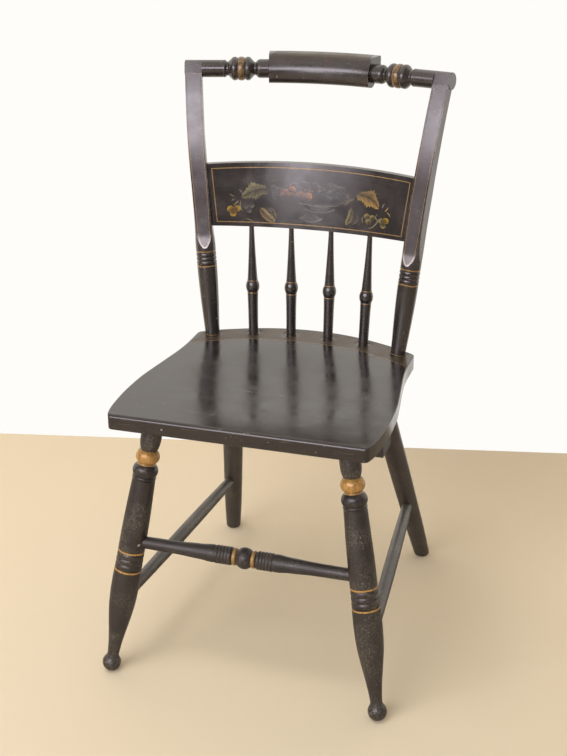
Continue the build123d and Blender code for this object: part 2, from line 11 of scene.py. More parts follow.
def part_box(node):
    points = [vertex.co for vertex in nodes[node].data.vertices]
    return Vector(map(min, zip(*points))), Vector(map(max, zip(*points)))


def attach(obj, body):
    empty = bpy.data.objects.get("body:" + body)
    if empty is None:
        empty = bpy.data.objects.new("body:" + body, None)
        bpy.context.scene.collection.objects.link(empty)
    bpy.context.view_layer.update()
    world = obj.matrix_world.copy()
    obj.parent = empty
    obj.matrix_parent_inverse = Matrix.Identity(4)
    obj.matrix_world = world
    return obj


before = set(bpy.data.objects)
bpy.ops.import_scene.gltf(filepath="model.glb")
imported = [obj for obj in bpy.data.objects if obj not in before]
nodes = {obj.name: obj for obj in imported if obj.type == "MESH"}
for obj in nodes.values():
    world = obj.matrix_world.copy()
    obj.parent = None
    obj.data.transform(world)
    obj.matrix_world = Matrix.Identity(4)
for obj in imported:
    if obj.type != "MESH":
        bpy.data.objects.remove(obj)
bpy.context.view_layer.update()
MM = 0.001

# ------------------------------------------------------------------ sizes of the chair, in mm
seat_height, seat_under = 441.0, 418.0
foot_ball_r, foot_ball_z = 14.2, 13.7
front_splay = (-0.1645, 0.1546, 1.0)
front_len = (seat_under - foot_ball_z) * Vector(front_splay).length
rear_foot_x, rear_foot_y = 179.8, 241.5
rear_splay = (-0.1524, -0.3844, 1.0)
post_lean = (0.0914, 0.102, 1.0)
post_foot_x, post_foot_y = 155.0, 95.2
post_cant = math.radians(15.0)
crest_height = 857.4
crest_tail_x, crest_tail_y = 84.0, 191.6
slat_low = 619.3
slat_middle = (0.0, 140.0, 668.0)
side_rod_middle, side_rod_way = (200.0, 0.0, 125.0), (-0.08, 1.0, 0.02)
cleat_middle = (0.0, -130.0, 404.0)
spindle_feet = ((92.6, 116.9), (31.2, 126.9), (31.2, 126.9), (92.6, 116.9))
spindle_fan, spindle_lean = 0.0003, 0.077        # outwards per mm from the middle, and back
spindle_ball = 78.5        # up the spindle from the seat

# gilt bands, as (middle, half width) along a turning, up from its foot or out from the middle
leg_bands = ((162.3, 1.3), (194.0, 1.4), (front_len - 66.6, 10.2), (front_len - 78.0, 0.6))
post_bands = ((115.0, 1.0), (138.7, 1.0), (0.6, 0.4))
crest_bands = ((43.5, 4.7),)
stretcher_bands = ((14.6, 3.0),)
spindle_bands = ((spindle_ball - 9.3, 0.6), (spindle_ball + 10.8, 0.6))


# ------------------------------------------------------------------ small helpers
def linear(code):
    """A hex colour as the linear one that a socket takes."""
    parts = [int(code[i:i + 2], 16) / 255 for i in (1, 3, 5)]
    return [*(c / 12.92 if c <= 0.04045 else ((c + 0.055) / 1.055) ** 2.4 for c in parts), 1.0]


def add(tree, kind, sockets=None, **settings):
    """Adds a node with its settings, and sets or links the sockets named."""
    made = tree.nodes.new(kind)
    for name, value in settings.items():
        setattr(made, name, value)
    for socket, value in (sockets or {}).items():
        if isinstance(value, bpy.types.NodeSocket):
            tree.links.new(value, made.inputs[socket])
        else:
            made.inputs[socket].default_value = value
    return made


def keep(obj, name):
    """Names a finished piece and lets it ride with the chair."""
    obj.name = name
    obj.data.name = name
    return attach(obj, "root")


# ------------------------------------------------------------------ paint
def gilt_bands(t, station, bands, wobble):
    """One mask for several hand-laid bands, each (middle, half width) along the lathe."""
    mask = None
    for middle, half in bands:
        off = add(t, "ShaderNodeMath", {0: station, 1: middle}, operation="SUBTRACT")
        wander = add(t, "ShaderNodeMath", {0: off.outputs[0], 1: wobble}, operation="ADD")
        away = add(t, "ShaderNodeMath", {0: wander.outputs[0]}, operation="ABSOLUTE")
        band = add(t, "ShaderNodeMapRange", {0: away.outputs[0], 1: half + 0.25, 2: half - 0.25},
                   interpolation_type="SMOOTHSTEP")
        if mask is None:
            mask = band.outputs[0]
        else:
            mask = add(t, "ShaderNodeMath", {0: mask, 1: band.outputs[0]},
                       operation="MAXIMUM").outputs[0]
    return mask


def along_grain(t, p, origin, axis):
    """How far along a turning a point lies, and a place for noise that runs with its grain. Both
    sides of the chair share one turning, so it is read with x folded over."""
    fold = add(t, "ShaderNodeVectorMath", {0: p}, operation="ABSOLUTE").outputs[0]
    split = add(t, "ShaderNodeSeparateXYZ", {0: p}).outputs
    fold_x = add(t, "ShaderNodeSeparateXYZ", {0: fold}).outputs[0]
    folded = add(t, "ShaderNodeCombineXYZ", {0: fold_x, 1: split[1], 2: split[2]}).outputs[0]
    line = Vector(axis).normalized()
    rel = add(t, "ShaderNodeVectorMath", {0: folded, 1: origin}, operation="SUBTRACT").outputs[0]
    station = add(t, "ShaderNodeVectorMath", {0: rel, 1: line}, operation="DOT_PRODUCT").outputs[1]
    # only a twentieth of the length is left, so marks are twenty times as long as they are wide
    along = add(t, "ShaderNodeMath", {0: station, 1: 0.95}, operation="MULTIPLY").outputs[0]
    shift = add(t, "ShaderNodeVectorMath", {0: line, "Scale": along}, operation="SCALE").outputs[0]
    grain = add(t, "ShaderNodeVectorMath", {0: rel, 1: shift}, operation="SUBTRACT").outputs[0]
    return station, grain


def coat(t, brush, cloud, tones):
    """Warm black, browner where the coat is thin and along the brush marks."""
    thin = add(t, "ShaderNodeMapRange", {0: cloud, 1: 0.42, 2: 0.72}).outputs[0]
    body = add(t, "ShaderNodeMix", {0: thin, 6: linear(tones[0]), 7: linear(tones[1])},
               data_type="RGBA").outputs[2]
    streak = add(t, "ShaderNodeMapRange", {0: brush, 1: 0.35, 2: 0.75, 3: 0.0, 4: 0.55}).outputs[0]
    return add(t, "ShaderNodeMix", {0: streak, 6: body, 7: linear(tones[2])},
               data_type="RGBA").outputs[2]


def bloom(t, body, station, start):
    """From that station on the colour is painted lighter, a lilac-grey painted sheen that stands in for
    the window's reflection.
    """
    above = add(t, "ShaderNodeMapRange", {0: station, 1: start, 2: start + 30.0, 4: 0.7}).outputs[0]
    return add(t, "ShaderNodeMix", {0: above, 6: body, 7: linear("#4f474b")},
               data_type="RGBA").outputs[2]


def scratches(t, body, grain, fine, strength):
    """Hairline scratches along the grain, which come and go."""
    scratch = add(t, "ShaderNodeTexNoise", {"Vector": grain, "Scale": 0.09, "Detail": 2.0,
                                            "Distortion": 0.6}).outputs[0]
    near = add(t, "ShaderNodeMath", {0: scratch, 1: 0.5}, operation="SUBTRACT").outputs[0]
    near = add(t, "ShaderNodeMath", {0: near}, operation="ABSOLUTE").outputs[0]
    hair = add(t, "ShaderNodeMapRange", {0: near, 1: 0.0035, 2: 0.001}).outputs[0]
    some = add(t, "ShaderNodeMapRange", {0: fine, 1: 0.52, 2: 0.6}).outputs[0]
    hair = add(t, "ShaderNodeMath", {0: hair, 1: some}, operation="MULTIPLY").outputs[0]
    hair = add(t, "ShaderNodeMath", {0: hair, 1: strength}, operation="MULTIPLY").outputs[0]
    return add(t, "ShaderNodeMix", {0: hair, 6: body, 7: linear("#8a7c6c")},
               data_type="RGBA").outputs[2]


def drifted_dust(t, body, p, station, strength, scuffed_foot):
    """Pale dust and scuffs, half a millimetre to a few across, in drifts and about the foot."""
    speck = add(t, "ShaderNodeTexNoise", {"Vector": p, "Scale": 0.42, "Detail": 6.0,
                                          "Roughness": 0.8}).outputs[0]
    speck = add(t, "ShaderNodeMapRange", {0: speck, 1: 0.50, 2: 0.64, 4: strength}).outputs[0]
    drift = add(t, "ShaderNodeTexNoise", {"Vector": p, "Scale": 0.022, "Detail": 3.0}).outputs[0]
    drift = add(t, "ShaderNodeMapRange", {0: drift, 1: 0.42, 2: 0.60, 3: 0.15}).outputs[0]
    if scuffed_foot:
        foot = add(t, "ShaderNodeMapRange", {0: station, 1: 50.0, 2: 5.0}).outputs[0]
        drift = add(t, "ShaderNodeMath", {0: drift, 1: foot}, operation="MAXIMUM").outputs[0]
    speck = add(t, "ShaderNodeMath", {0: speck, 1: drift}, operation="MULTIPLY").outputs[0]
    return add(t, "ShaderNodeMix", {0: speck, 6: body, 7: linear("#87806f")},
               data_type="RGBA").outputs[2]


def worn_edges(t, body, p, fine, rub):
    """Edges rubbed through, in patches, to brown under-paint and bare maple."""
    soft = add(t, "ShaderNodeBevel", {"Radius": 1.6 * MM}, samples=6).outputs[0]
    true = add(t, "ShaderNodeNewGeometry").outputs["Normal"]
    same = add(t, "ShaderNodeVectorMath", {0: soft, 1: true}, operation="DOT_PRODUCT").outputs[1]
    edge = add(t, "ShaderNodeMapRange", {0: same, 1: 0.985, 2: 0.86}).outputs[0]
    patch = add(t, "ShaderNodeTexNoise", {"Vector": p, "Scale": 0.07, "Detail": 6.0,
                                          "Roughness": 0.7}).outputs[0]
    patch = add(t, "ShaderNodeMapRange", {0: patch, 1: 0.5, 2: 0.66, 4: rub}).outputs[0]
    worn = add(t, "ShaderNodeMath", {0: edge, 1: patch}, operation="MULTIPLY").outputs[0]
    wood = add(t, "ShaderNodeMix", {0: fine, 6: linear("#4a2f1c"), 7: linear("#b08a62")},
               data_type="RGBA").outputs[2]
    return add(t, "ShaderNodeMix", {0: worn, 6: body, 7: wood}, data_type="RGBA").outputs[2]


def popped_flecks(t, body, p, flecks):
    """Flecks about a millimetre across where the paint has popped off."""
    cells = add(t, "ShaderNodeTexVoronoi", {"Vector": p, "Scale": 0.2, "Randomness": 1.0})
    dot = add(t, "ShaderNodeMapRange", {0: cells.outputs["Distance"], 1: 0.13, 2: 0.09}).outputs[0]
    chance = add(t, "ShaderNodeSeparateColor", {0: cells.outputs["Color"]}).outputs[0]
    chosen = add(t, "ShaderNodeMapRange", {0: chance, 1: 0.955, 2: 0.965, 4: flecks}).outputs[0]
    fleck = add(t, "ShaderNodeMath", {0: dot, 1: chosen}, operation="MULTIPLY").outputs[0]
    return add(t, "ShaderNodeMix", {0: fleck, 6: body, 7: linear("#b9ab98")},
               data_type="RGBA").outputs[2]


def bronze_powder(t, body, p):
    """Bronze powder rubbed through a cut stencil, gritty, in the colour and as dense as the
    drawing's points say; and how much of it shines as metal."""
    powder = add(t, "ShaderNodeAttribute", attribute_name="powder")
    grit = add(t, "ShaderNodeTexNoise", {"Vector": p, "Scale": 0.55, "Detail": 5.0,
                                         "Roughness": 0.75}).outputs[0]
    grit = add(t, "ShaderNodeMapRange", {0: grit, 1: 0.34, 2: 0.58, 3: 0.35, 4: 1.0}).outputs[0]
    laid = add(t, "ShaderNodeMath", {0: powder.outputs["Alpha"], 1: grit},
               operation="MULTIPLY").outputs[0]
    body = add(t, "ShaderNodeMix", {0: laid, 6: body, 7: powder.outputs["Color"]},
               data_type="RGBA").outputs[2]
    return body, add(t, "ShaderNodeMath", {0: laid, 1: 0.35}, operation="MULTIPLY").outputs[0]


def gilding(t, body, p, station, brush, bands, wear, tones):
    """Bands of bronze powder in varnish, brushed on by hand and worn off in places; and how much
    of them shines as metal."""
    waver = add(t, "ShaderNodeTexNoise", {"Vector": p, "Scale": 0.06, "Detail": 2.0}).outputs[0]
    wobble = add(t, "ShaderNodeMapRange", {0: waver, 3: -0.9, 4: 0.9}).outputs[0]
    gilt = gilt_bands(t, station, bands, wobble)
    holds = add(t, "ShaderNodeTexNoise", {"Vector": p, "Scale": 0.35, "Detail": 5.0,
                                          "Roughness": 0.7}).outputs[0]
    holds = add(t, "ShaderNodeMapRange", {0: holds, 1: wear - 0.08, 2: wear + 0.06}).outputs[0]
    gilt = add(t, "ShaderNodeMath", {0: gilt, 1: holds}, operation="MULTIPLY").outputs[0]
    tone = add(t, "ShaderNodeMapRange", {0: brush, 1: 0.3, 2: 0.7}).outputs[0]
    gold = add(t, "ShaderNodeMix", {0: tone, 6: linear(tones[0]), 7: linear(tones[1])},
               data_type="RGBA").outputs[2]
    body = add(t, "ShaderNodeMix", {0: gilt, 6: body, 7: gold}, data_type="RGBA").outputs[2]
    return body, add(t, "ShaderNodeMath", {0: gilt, 1: 0.3}, operation="MULTIPLY").outputs[0]


def black_paint(name, origin=(0.0, 0.0, 0.0), axis=(1.0, 0.0, 0.0), bands=(), gilt_wear=0.42,
                rub=1.0, flecks=1.0, sheen=0.22, stencilled=False, painted_sheen_from=None,
                gold=("#7d6138", "#b48c56"), coats=("#1f1918", "#2c2420", "#332b28"), ior=2.0,
                scratched=0.35, dust=0.0, scuffed_foot=False):
    """Lamp-black oil paint under varnish on maple, rubbed satin by two centuries of hands: a warm
    black that hazes over in the light, with faint brush marks along the grain, hairline
    scratches, pale flecks of missing paint and brown wood showing at the edges. The bands are
    bronze powder in varnish, at stations along the axis of the turning.

    rub, flecks, scratched and dust say how strong each sort of wear is, and a higher gilt_wear
    leaves less gilding. sheen is the roughness. coats are the tones of the thick, the thin and
    the brushed coat. The IOR is above a varnish's 1.5, set for a strong gloss."""
    material = bpy.data.materials.new(name)
    material.use_nodes = True
    t = material.node_tree
    t.nodes.clear()
    place = add(t, "ShaderNodeTexCoord")
    p = add(t, "ShaderNodeVectorMath", {0: place.outputs["Object"], "Scale": 1 / MM},
            operation="SCALE").outputs[0]
    station, grain = along_grain(t, p, origin, axis)

    # brush marks 2 mm apart, clouds of some centimetres, and orange peel of a millimetre
    brush = add(t, "ShaderNodeTexNoise", {"Vector": grain, "Scale": 0.5, "Detail": 4.0,
                                          "Roughness": 0.6}).outputs[0]
    cloud = add(t, "ShaderNodeTexNoise", {"Vector": p, "Scale": 0.028, "Detail": 5.0,
                                          "Roughness": 0.62}).outputs[0]
    fine = add(t, "ShaderNodeTexNoise", {"Vector": p, "Scale": 0.9, "Detail": 3.0}).outputs[0]

    body = coat(t, brush, cloud, coats)
    # a painted sheen: the colour turns lighter lilac-grey above a station along the turning
    if painted_sheen_from is not None:
        body = bloom(t, body, station, painted_sheen_from)
    body = scratches(t, body, grain, fine, scratched)
    if dust:
        body = drifted_dust(t, body, p, station, dust, scuffed_foot)
    body = worn_edges(t, body, p, fine, rub)
    body = popped_flecks(t, body, p, flecks)
    rough = add(t, "ShaderNodeMapRange", {0: cloud, 1: 0.3, 2: 0.75, 3: sheen - 0.05,
                                          4: sheen + 0.14}).outputs[0]
    metal = 0.0
    if stencilled:
        body, metal = bronze_powder(t, body, p)
    if bands:
        body, metal = gilding(t, body, p, station, brush, bands, gilt_wear, gold)

    # the brush marks and the orange peel stand some hundredths of a millimetre high
    height = add(t, "ShaderNodeMath", {0: brush, 1: fine}, operation="ADD").outputs[0]
    bump = add(t, "ShaderNodeBump", {"Strength": 0.3, "Distance": 0.06 * MM,
                                     "Height": height}).outputs[0]
    shader = add(t, "ShaderNodeBsdfPrincipled", {"Base Color": body, "Roughness": rough,
                                                 "Metallic": metal, "Normal": bump, "IOR": ior})
    add(t, "ShaderNodeOutputMaterial", {0: shader.outputs[0]})
    return material


# ------------------------------------------------------------------ the wooden pieces
toe_low, toe_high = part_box("front_leg_right")
leg_foot = (toe_high.x / MM - foot_ball_r, toe_low.y / MM + foot_ball_r, foot_ball_z)
front_leg_paint = black_paint(
    "lamp_black_front_leg", leg_foot, front_splay, leg_bands, gilt_wear=0.36, flecks=1.6,
    sheen=0.33, gold=("#936e37", "#d8a55e"), ior=1.75, dust=0.8, scuffed_foot=True)
rear_leg_paint = black_paint(
    "lamp_black_rear_leg", (rear_foot_x, rear_foot_y, 0.0), rear_splay, sheen=0.34, dust=0.5,
    scuffed_foot=True)
# the upper parts of the posts and of the crest carry a painted sheen, lighter lilac-grey in their colour
post_paint = black_paint(
    "lamp_black_post", (post_foot_x, post_foot_y, seat_height), post_lean, post_bands,
    gilt_wear=0.38, sheen=0.2, painted_sheen_from=140.0)
crest_paint = black_paint(
    "lamp_black_crest", (crest_tail_x, crest_tail_y, crest_height),
    (math.cos(post_cant), -math.sin(post_cant), 0.0), crest_bands, gilt_wear=0.47, rub=1.4,
    painted_sheen_from=100.0, gold=("#5c4424", "#94703f"))
rod_low, rod_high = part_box("front_stretcher")
stretcher_middle = (0.0, (rod_low.y + rod_high.y) / 2 / MM, (rod_low.z + rod_high.z) / 2 / MM)
stretcher_paint = black_paint(
    "lamp_black_front_stretcher", stretcher_middle, bands=stretcher_bands, gilt_wear=0.34,
    sheen=0.42, ior=1.75, dust=0.55)
side_rod_paint = black_paint(
    "lamp_black_side_stretcher", side_rod_middle, side_rod_way, sheen=0.44, flecks=1.6,
    coats=("#2b251e", "#3b3329", "#4a4033"), dust=0.9)
slat_paint = black_paint("lamp_black_slat", slat_middle, rub=0.7, flecks=0.4, sheen=0.14)
seat_paint = black_paint("lamp_black_seat", (0.0, 0.0, seat_height), rub=1.2, flecks=0.7,
                         sheen=0.16, ior=1.8, scratched=0.7)
cleat_paint = black_paint("lamp_black_cleat", cleat_middle, sheen=0.5)

paint_of = {"crest_rail": crest_paint, "front_stretcher": stretcher_paint,
            "back_slat": slat_paint, "seat_plank": seat_paint, "seat_cleat": cleat_paint,
            "cleat_screws": cleat_paint}
for side in ("left", "right"):
    paint_of[f"front_leg_{side}"] = front_leg_paint
    paint_of[f"rear_leg_{side}"] = rear_leg_paint
    paint_of[f"post_{side}"] = post_paint
    paint_of[f"side_stretcher_{side}"] = side_rod_paint
for number, (spindle_x, spindle_y) in enumerate(spindle_feet, 1):
    paint_of[f"spindle_{number}"] = black_paint(
        f"lamp_black_spindle_{number}", (spindle_x, spindle_y, seat_height),
        (spindle_fan * spindle_x, spindle_lean, 1.0), spindle_bands, gilt_wear=0.4)
for piece, paint in paint_of.items():
    nodes[piece].data.materials.clear()
    nodes[piece].data.materials.append(paint)


# ------------------------------------------------------------------ laying paint on the wood
def lay_on_tree():
    """A node tree that drops a flat drawing along one way onto a wooden piece, and leaves it
    standing proud by the thickness of the paint."""
    tree = bpy.data.node_groups.new("lay_paint_on", "GeometryNodeTree")
    ask = tree.interface.new_socket
    ask("Drawing", in_out="INPUT", socket_type="NodeSocketGeometry")
    ask("Piece", in_out="INPUT", socket_type="NodeSocketObject")
    ask("Way", in_out="INPUT", socket_type="NodeSocketVector")
    ask("Thickness", in_out="INPUT", socket_type="NodeSocketFloat")
    ask("Paint", in_out="INPUT", socket_type="NodeSocketMaterial")
    ask("Laid", in_out="OUTPUT", socket_type="NodeSocketGeometry")
    given = add(tree, "NodeGroupInput").outputs
    piece = add(tree, "GeometryNodeObjectInfo", {"Object": given["Piece"]}).outputs["Geometry"]
    hit = add(tree, "GeometryNodeRaycast", {"Target Geometry": piece, "Ray Direction": given["Way"],
                                            "Ray Length": 2.0}).outputs
    over = add(tree, "GeometryNodeInputNamedAttribute", {"Name": "over"}, data_type="FLOAT").outputs[0]
    thick = add(tree, "ShaderNodeMath", {0: given["Thickness"], 1: over}, operation="ADD").outputs[0]
    lift = add(tree, "ShaderNodeVectorMath", {0: hit["Hit Normal"], "Scale": thick},
               operation="SCALE").outputs[0]
    spot = add(tree, "ShaderNodeVectorMath", {0: hit["Hit Position"], 1: lift},
               operation="ADD").outputs[0]
    missed = add(tree, "FunctionNodeBooleanMath", {0: hit["Is Hit"]}, operation="NOT").outputs[0]
    laid = add(tree, "GeometryNodeSetPosition", {"Geometry": given["Drawing"], "Position": spot,
                                                 "Selection": hit["Is Hit"]}).outputs[0]
    laid = add(tree, "GeometryNodeDeleteGeometry", {"Geometry": laid, "Selection": missed}).outputs[0]
    laid = add(tree, "GeometryNodeRealizeInstances", {"Geometry": laid}).outputs[0]
    laid = add(tree, "GeometryNodeSetMaterial", {"Geometry": laid, "Material": given["Paint"]}).outputs[0]
    add(tree, "NodeGroupOutput", {0: laid})
    return tree


paint_layer = lay_on_tree()
backwards, downwards = (0, 1, 0), (0, 0, -1)
stand_off = 0.6        # how far in front of the chair's middle a drawing is held, in metres


def lay_on(drawing, node, way, paint, name, thickness=0.12):
    """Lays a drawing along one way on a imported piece, that many mm thick, and lets it ride there."""
    mesh = bpy.data.meshes.new(name)
    drawing.work.to_mesh(mesh)
    drawing.work.free()
    flat = bpy.data.objects.new(name, mesh)
    bpy.context.scene.collection.objects.link(flat)
    layer = flat.modifiers.new("paint", "NODES")
    layer.node_group = paint_layer
    values = {"Piece": nodes[node], "Way": way, "Thickness": thickness * MM, "Paint": paint}
    for item in paint_layer.interface.items_tree:
        if item.name in values:
            layer[item.identifier] = values[item.name]
    seen = flat.evaluated_get(bpy.context.evaluated_depsgraph_get())
    made = bpy.data.meshes.new_from_object(seen)
    flat.modifiers.clear()
    flat.data = made
    for face in made.polygons:
        face.use_smooth = True
    return keep(flat, name)


class Drawing:
    """A flat drawing in millimetres, across and up, held off the piece that it is laid on."""

    def __init__(self, across=(1, 0, 0), start=(0, -stand_off, 0), up=(0, 0, 1)):
        self.across, self.start, self.up = Vector(across), Vector(start), Vector(up)
        self.work = bmesh.new()
        self.powder = self.work.verts.layers.float_color.new("powder")
        self.over = self.work.verts.layers.float.new("over")
        self.level = 0.0

    def point(self, u, v, colour, strength):
        """A point of the drawing, with the colour and the share of powder there."""
        vert = self.work.verts.new(self.start + MM * (u * self.across + v * self.up))
        vert[self.powder] = (*colour[:3], max(0.0, min(1.0, strength)))
        vert[self.over] = MM * self.level
        return vert

    def weave(self, rows):
        """Faces between rows of points that have the same length. What is drawn next lies a hair
        above them, so that no two strokes share a surface."""
        for low, high in zip(rows, rows[1:]):
            for n in range(len(low) - 1):
                self.work.faces.new((low[n], low[n + 1], high[n + 1], high[n]))
        self.level += 0.002

    def stroke(self, path, width, colour, strength=1.0, taper=False, closed=False):
        """A brush line of that width along a path of points. Its strength may be a function of the
        share of the path that is behind."""
        rows = []
        count = len(path)
        for n, (u, v) in enumerate(path):
            before = path[(n - 1) % count] if closed or n else path[0]
            after = path[(n + 1) % count] if closed or n < count - 1 else path[-1]
            a = Vector((u - before[0], v - before[1]))
            b = Vector((after[0] - u, after[1] - v))
            a = a.normalized() if a.length > 1e-9 else b.normalized()
            b = b.normalized() if b.length > 1e-9 else a
            way = (a + b).normalized()
            side = Vector((-way.y, way.x)) / max(0.5, way.dot(b))
            thick = width / 2
            if taper:
                thick *= 0.25 + 0.75 * math.sin(math.pi * (n + 0.5) / count)
            s = strength(n / (count - 1)) if callable(strength) else strength
            rows.append([self.point(u + side.x * thick * k, v + side.y * thick * k, colour, s)
                         for k in (-1, 0, 1)])
        if closed:
            rows.append(rows[0])
        self.weave(rows)


def smooth_path(points, step=2.0):
    """Points on a smooth curve through the given ones, about a step apart."""
    ends = [points[0]] + list(points) + [points[-1]]
    path = []
    for a, b, c, d in zip(ends, ends[1:], ends[2:], ends[3:]):
        parts = max(2, int(math.dist(b, c) / step))
        for n in range(parts):
            f = n / parts
            path.append(tuple(
                0.5 * (2 * q + (r - p) * f + (2 * p - 5 * q + 4 * r - t) * f * f
                       + (3 * q - p - 3 * r + t) * f ** 3)
                for p, q, r, t in zip(a, b, c, d)))
    return path + [tuple(points[-1])]


def straight_path(points, step=3.0):
    """Points on the straight lines between the given ones, about a step apart."""
    path = []
    for a, b in zip(points, points[1:]):
        parts = max(1, int(math.dist(a, b) / step))
        path += [tuple(p + (q - p) * n / parts for p, q in zip(a, b)) for n in range(parts)]
    return path + [tuple(points[-1])]


# ------------------------------------------------------------------ stencil on the slat
bronze = linear("#c2a96f")
old_gold = linear("#e0b264")
olive = linear("#b7aa7c")
silver = linear("#98948c")
slate = linear("#7d8794")
copper = linear("#b07a56")
yellow = linear("#d0a63c")
amber = linear("#8a5a1c")
moss = linear("#5a5224")
gilt_line_colour = linear("#a88452")
pale_chip_and_highlight = linear("#cfc4c6")
# pale for the chips, and for the painted highlight round the arch tips of the posts
worn_brown = linear("#54432f")


def mixed_colour(a, b, f):
    """The colour that share of the way from one to another."""
    f = max(0.0, min(1.0, f))
    return [p + (q - p) * f for p, q in zip(a, b)]


def leaf(art, base, tip, wide, lobes, teeth, near, far, bright=1.0, lit_side=1, bend=0.12):
    """A veined leaf with lobes and teeth and a bare midrib; the powder is dense along the lit
    side's rim."""
    b, e = Vector(base), Vector(tip)
    way = e - b
    side = Vector((-way.y, way.x)).normalized()
    long = way.length
    rows = []
    steps, columns = teeth * 5, 8
    for i in range(steps + 1):
        s = i / steps
        middle = b + way * s + side * bend * long * math.sin(math.pi * s)
        full = wide / 2 * math.sin(math.pi * min(1.0, s * 0.94 + 0.06)) ** 0.7
        full *= 1 + 0.16 * math.cos(2 * math.pi * lobes * s)
        notch = (s * teeth) % 1.0
        full *= 0.74 + 0.40 * notch
        row = []
        for j in range(-columns, columns + 1):
            k = j / columns
            slip = 0.10 * long * abs(k) * (1 - s)
            spot = middle + side * full * k + way.normalized() * slip
            rim = abs(k) ** 1.6
            vein = abs(math.sin(math.pi * (s * teeth * 0.5 - abs(k) * 0.9)))
            powder = (0.28 + 0.72 * rim) * (0.45 + 0.55 * vein ** 0.5)
            powder *= 1.0 if k * lit_side > 0 else 0.62
            powder *= bright * (0.55 + 0.45 * s)
            colour = mixed_colour(near, far, s * 0.7 + 0.3 * k * lit_side)
            row.append(art.point(spot.x, spot.y, colour, powder if j else 0.0))
        rows.append(row)
    art.weave(rows)


def fruit(art, middle, r, colour, deep, bright=1.0, light=(0.5, 0.8), squash=0.92, hollow=0.25):
    """A round fruit: powder dense towards the light, thinning over the shadow side."""
    way = Vector(light).normalized()
    around = 28
    rings = 6
    rows = []
    for i in range(rings + 1):
        rad = max(0.02, i / rings)
        row = []
        for j in range(around + 1):
            a = 2 * math.pi * j / around
            d = Vector((math.cos(a), math.sin(a) * squash))
            glow = 0.5 + 0.5 * (d * rad).dot(way)
            powder = bright * max(glow ** 1.5, hollow * rad ** 3)
            row.append(art.point(middle[0] + r * rad * d.x, middle[1] + r * rad * d.y,
                                 mixed_colour(deep, colour, glow * 1.2), powder))
        rows.append(row)
    art.weave(rows)


def sagging_path(mid_x, low, half, rise, parts):
    """Points along a line that is lowest in its middle, in that many parts on each side."""
    shares = [-1 + n / parts for n in range(2 * parts + 1)]
    return [(mid_x + half * k, low + rise * k ** 2) for k in shares]


def dish(art, mid_x, rim_v, half, deep):
    """A footed dish: a fluted bowl with its rim and keel, and a domed foot with a ring."""
    steps, flutes, across = 64, 15, 6
    rows = []
    for i in range(steps + 1):
        k = -1 + 2 * i / steps
        fluting = abs(math.sin(math.pi * flutes * (k + 1) / 2))
        top = rim_v + 3.2 * k * k + 1.4 * fluting
        low = rim_v - deep * (1 - k * k) ** 0.62
        flute = fluting ** 1.4
        row = []
        for j in range(across + 1):
            f = j / across
            powder = (0.09 + 0.34 * flute * (0.25 + 0.75 * f)) * (0.55 + 0.45 * k)
            row.append(art.point(mid_x + half * k * (0.55 + 0.45 * f ** 0.7), low + (top - low) * f,
                                 mixed_colour(slate, silver, f), powder))
        rows.append(row)
    art.weave(rows)
    art.stroke(sagging_path(mid_x, rim_v - 2.2, half * 1.02, 3.4, 15), 1.2, silver, 0.38)
    art.stroke(sagging_path(mid_x, rim_v - deep * 0.92, half * 0.86, 7.0, 12), 1.3, silver,
               lambda f: 0.12 + 0.4 * f)

    foot_x, foot_low, foot_half, parts = mid_x - 12.0, rim_v - deep - 14.5, 19.0, 12
    dome = []
    for i in range(2 * parts + 1):
        k = -1 + i / parts
        colour, powder = mixed_colour(slate, silver, abs(k)), 0.08 + 0.3 * abs(k) ** 3
        dome.append([art.point(foot_x + foot_half * k * (1 - 0.22 * j), foot_low + 4.0 * k * k + 3.1 * j,
                               colour, powder * (1 - 0.2 * j)) for j in range(4)])
    art.weave(dome)
    art.stroke(sagging_path(foot_x, foot_low, foot_half, 7.5, parts), 1.6, silver,
               lambda f: 0.15 + 0.45 * f)


def at(x, height):
    """A place on the slat: across from its middle and up from its lower edge."""
    return (x, slat_low + height)


def draw_heap(art):
    """Dim fruit and leaves heaped behind."""
    leaf(art, at(22, 50), at(56, 68), 24, 2, 7, slate, silver, 0.34, 1)
    leaf(art, at(38, 44), at(70, 56), 20, 2, 6, slate, bronze, 0.36, -1)
    leaf(art, at(-38, 48), at(-66, 66), 22, 2, 6, slate, silver, 0.40, -1)
    heap = random.Random(8)
    for n in range(34):
        turn, reach = heap.uniform(0.0, math.pi), heap.uniform(0.1, 1.0) ** 0.5
        x, h = 4 + 56 * reach * math.cos(turn), 50 + 25 * reach * math.sin(turn)
        fruit(art, at(x, h), heap.uniform(3.2, 5.4), silver if n % 3 else slate, slate,
              heap.uniform(0.18, 0.42), (heap.uniform(-0.5, 0.5), 0.9))


def draw_fruit_dish(art):
    """Peaches in front of the heap, over the rim of the dish."""
    blush = linear("#7c5240")
    fruit(art, at(-41, 55), 11.0, copper, blush, 0.80, (0.3, 0.7), squash=0.62, hollow=0.3)
    fruit(art, at(-32, 61), 6.5, copper, blush, 1.0, (0.4, 0.8), squash=0.80, hollow=0.4)
    fruit(art, at(-47, 52), 5.0, copper, blush, 0.60, (-0.4, 0.6), hollow=0.3)
    fruit(art, at(-17, 54), 9.0, copper, blush, 0.75, (-0.2, 0.8), squash=0.60, hollow=0.3)
    fruit(art, at(-6, 52), 7.5, copper, blush, 1.0, (0.7, 0.5), squash=0.85, hollow=0.4)
    for x, h in ((-36, 66), (-12, 60), (0, 58)):
        art.stroke([at(x, h), at(x + 2, h + 4)], 1.4, copper, 0.6, taper=True)
    dish(art, *at(12.0, 40.0), 31.0, 13.0)


